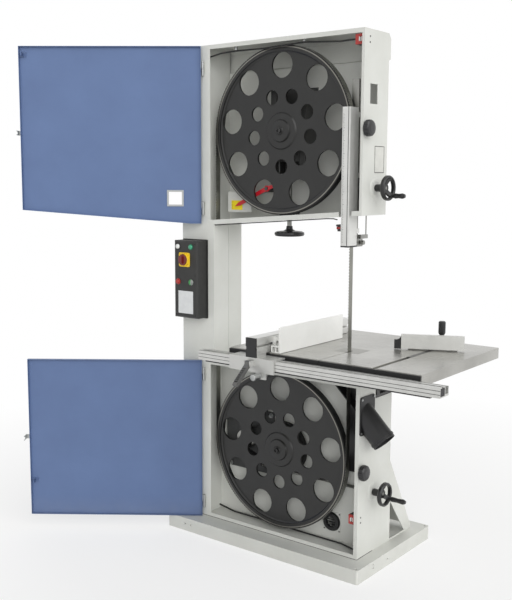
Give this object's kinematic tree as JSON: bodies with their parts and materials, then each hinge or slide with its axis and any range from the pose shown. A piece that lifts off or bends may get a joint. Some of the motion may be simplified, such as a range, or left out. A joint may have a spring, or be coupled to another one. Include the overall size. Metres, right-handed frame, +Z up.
{
  "type": "wheel-type band saw",
  "caption": "Upright band saw on a floor plinth: blue hinged doors open on the wheels, tilting table with rip fence and mitre gauge, blade guide post, column and control box.",
  "frame": {"origin": "centre of the four floor anchor holes, at the underside of the plinth", "axes": "+Z up the column; -Y out of the doors towards the operator; +X away from the column, across the table"},
  "size_m": [1.9541, 1.0643, 2.192],
  "materials": {
    "grey": "light grey gloss powder coat",
    "blue": "blue powder coat",
    "wheel": "dark grey enamel on cast iron, machined rim edge",
    "tyre": "black rubber band",
    "steel": "ground or drawn steel",
    "blade": "spring steel band",
    "castgrey": "dark grey enamel on cast iron",
    "table": "ground cast iron with fine grinding marks",
    "alu": "clear anodised extrusion",
    "black": "black moulded plastic",
    "darkbox": "dark grey textured paint",
    "belt": "black ribbed rubber belt",
    "motor": "dark grey enamel, finned",
    "red": "red plastic",
    "green": "green plastic",
    "pointer": "red paint",
    "cable": "black cable sheath",
    "zinc": "zinc-plated steel",
    "insert": "machined aluminium",
    "trim": "label plates, lamp lenses and collars"
  },
  "bodies": {
    "frame": {"base_plinth": "grey", "lower_cabinet": "grey", "rear_legs": "grey", "cable_gland": "black", "column": "grey", "upper_box": "grey", "hinge_leaves": "zinc", "slide_guides": "castgrey", "lower_axle": "steel", "dust_ports": "black", "safety_switches": "red", "switch_cables": "cable", "control_box": "darkbox", "panel_parts": "trim", "trunnion_cradle": "castgrey", "lower_guides": "steel", "frame_bolts": "zinc", "blade": "blade", "drive_belt": "belt"},
    "upper_door": {"upper_door": "blue", "upper_door_fittings": "zinc"},
    "lower_door": {"lower_door": "blue", "lower_door_fittings": "zinc"},
    "upper_lock": {"upper_lock": "black"},
    "lower_lock": {"lower_lock": "black"},
    "lower_wheel": {"lower_wheel": "wheel", "lower_tyre": "tyre"},
    "tension_carriage": {"tension_carriage": "castgrey"},
    "upper_wheel": {"upper_wheel": "wheel", "upper_tyre": "tyre"},
    "tension_screw": {"tension_screw": "steel", "tension_handwheel": "black"},
    "tension_pointer": {"tension_pointer": "pointer"},
    "guide_post": {"guide_post": "steel", "blade_guard": "alu", "guide_head": "steel"},
    "thrust_roller": {"thrust_roller": "steel"},
    "guide_shaft": {"guide_shaft": "steel", "guide_handwheel": "black"},
    "guide_handle": {"guide_handle": "black"},
    "motor": {"motor": "motor"},
    "motor_pulley": {"motor_pulley": "steel"},
    "motor_screw": {"motor_screw": "steel", "motor_handwheel": "black"},
    "motor_handle": {"motor_handle": "black"},
    "table": {"table": "table", "table_insert": "insert", "table_trunnion": "castgrey", "fence_rail": "alu"},
    "fence_carriage": {"fence_carriage": "alu", "fence_arm": "alu"},
    "fence_plate": {"fence_plate": "alu"},
    "fence_lever": {"fence_lever": "black"},
    "fence_knob": {"fence_knob": "zinc"},
    "mitre_bar": {"mitre_bar": "steel"},
    "mitre_head": {"mitre_head": "alu"},
    "mitre_handle": {"mitre_handle": "black"},
    "switch_dial": {"switch_dial": "red"},
    "start_button": {"start_button": "green"},
    "stop_button": {"stop_button": "red"}
  },
  "joints": [
    {"name": "upper_door_hinge", "type": "hinge", "parent": "frame", "child": "upper_door", "pos_m": [-0.364, -0.23, 1.8], "axis": [0, 0, 1], "range_deg": [-22, 143]},
    {"name": "lower_door_hinge", "type": "hinge", "parent": "frame", "child": "lower_door", "pos_m": [-0.364, -0.23, 0.43], "axis": [0, 0, 1], "range_deg": [-22, 143]},
    {"name": "upper_lock_turn", "type": "hinge", "parent": "frame", "child": "upper_lock", "pos_m": [0.464, -0.206, 1.813], "axis": [1, 0, 0], "range_deg": [-720, 0]},
    {"name": "lower_lock_turn", "type": "hinge", "parent": "frame", "child": "lower_lock", "pos_m": [0.472, -0.206, 0.432], "axis": [1, 0, 0], "range_deg": [-720, 0]},
    {"name": "lower_wheel_spin", "type": "hinge", "parent": "frame", "child": "lower_wheel", "pos_m": [0.024, -0.16, 0.438], "axis": [0, 1, 0], "continuous": true},
    {"name": "tension_slide", "type": "slide", "parent": "frame", "child": "tension_carriage", "axis": [0, 0, 1], "range_m": [-0.016, 0]},
    {"name": "upper_wheel_spin", "type": "hinge", "parent": "tension_carriage", "child": "upper_wheel", "pos_m": [0.024, -0.16, 1.816], "axis": [0, 1, 0], "continuous": true},
    {"name": "tension_screw_turn", "type": "hinge", "parent": "frame", "child": "tension_screw", "pos_m": [0.024, -0.11, 1.5], "axis": [0, 0, 1], "range_deg": [0, 1441]},
    {"name": "tension_pointer_swing", "type": "hinge", "parent": "frame", "child": "tension_pointer", "pos_m": [-0.076, -0.141, 1.575], "axis": [0, 1, 0], "range_deg": [0, 14]},
    {"name": "guide_post_slide", "type": "slide", "parent": "frame", "child": "guide_post", "axis": [0, 0, 1], "range_m": [-0.4, 0.08]},
    {"name": "thrust_roller_spin", "type": "hinge", "parent": "guide_post", "child": "thrust_roller", "pos_m": [0.3745, -0.1457, 1.361], "axis": [1, 0, 0], "continuous": true},
    {"name": "guide_handwheel_turn", "type": "hinge", "parent": "frame", "child": "guide_shaft", "pos_m": [0.464, -0.12512, 1.582], "axis": [1, 0, 0], "range_deg": [-510, 2547]},
    {"name": "guide_handle_spin", "type": "hinge", "parent": "guide_shaft", "child": "guide_handle", "pos_m": [0.524, -0.09823, 1.55106], "axis": [1, 0, 0], "continuous": true},
    {"name": "motor_slide", "type": "slide", "parent": "frame", "child": "motor", "axis": [1, 0, 0], "range_m": [0, 0.012]},
    {"name": "motor_pulley_spin", "type": "hinge", "parent": "motor", "child": "motor_pulley", "pos_m": [-0.191, -0.14, 0.438], "axis": [0, 1, 0], "continuous": true},
    {"name": "motor_screw_turn", "type": "hinge", "parent": "frame", "child": "motor_screw", "pos_m": [0.464, -0.108, 0.324], "axis": [1, 0, 0], "range_deg": [-1729, 0]},
    {"name": "motor_handle_spin", "type": "hinge", "parent": "motor_screw", "child": "motor_handle", "pos_m": [0.544, -0.07614, 0.2982], "axis": [1, 0, 0], "continuous": true},
    {"name": "table_tilt", "type": "hinge", "parent": "frame", "child": "table", "pos_m": [0.374, -0.02, 0.917], "axis": [0, 1, 0], "range_deg": [0, 20]},
    {"name": "fence_slide", "type": "slide", "parent": "table", "child": "fence_carriage", "axis": [1, 0, 0], "range_m": [-0.17, 0.12]},
    {"name": "fence_plate_slide", "type": "slide", "parent": "fence_carriage", "child": "fence_plate", "axis": [0, 1, 0], "range_m": [-0.03, 0.15]},
    {"name": "fence_lever_lift", "type": "hinge", "parent": "fence_carriage", "child": "fence_lever", "pos_m": [0.102, -0.494, 0.884], "axis": [1, 0, 0], "range_deg": [-60, 0]},
    {"name": "fence_knob_turn", "type": "hinge", "parent": "fence_carriage", "child": "fence_knob", "pos_m": [0.151, -0.5, 0.838], "axis": [0, 1, 0], "range_deg": [-439, 621]},
    {"name": "mitre_slide", "type": "slide", "parent": "table", "child": "mitre_bar", "axis": [0, 1, 0], "range_m": [-0.26, 0.02]},
    {"name": "mitre_swivel", "type": "hinge", "parent": "mitre_bar", "child": "mitre_head", "pos_m": [0.6215, 0.08, 0.925], "axis": [0, 0, 1], "range_deg": [-85, 35]},
    {"name": "mitre_handle_turn", "type": "hinge", "parent": "mitre_bar", "child": "mitre_handle", "pos_m": [0.6215, 0.162, 0.96], "axis": [0, 0, 1], "range_deg": [0, 720]},
    {"name": "switch_dial_turn", "type": "hinge", "parent": "frame", "child": "switch_dial", "pos_m": [-0.423, -0.29, 1.257], "axis": [0, 1, 0], "range_deg": [-90, 0]},
    {"name": "start_button_press", "type": "slide", "parent": "frame", "child": "start_button", "axis": [0, 1, 0], "range_m": [0, 0.004], "stiffness_N_per_m": 300, "springref_m": -0.002},
    {"name": "stop_button_press", "type": "slide", "parent": "frame", "child": "stop_button", "axis": [0, 1, 0], "range_m": [0, 0.004], "stiffness_N_per_m": 300, "springref_m": -0.002}
  ],
  "couplings": [
    {"joint": "upper_wheel_spin", "follows": "lower_wheel_spin", "ratio": 1},
    {"joint": "motor_pulley_spin", "follows": "lower_wheel_spin", "ratio": 2.619},
    {"joint": "tension_screw_turn", "follows": "tension_slide", "rad_per_m": -1570.8},
    {"joint": "tension_pointer_swing", "follows": "tension_slide", "rad_per_m": -14.544},
    {"joint": "guide_handwheel_turn", "follows": "guide_post_slide", "rad_per_m": -111.11},
    {"joint": "motor_screw_turn", "follows": "motor_slide", "rad_per_m": -2513.3},
    {"joint": "fence_knob_turn", "follows": "fence_slide", "rad_per_m": -63.694}
  ]
}
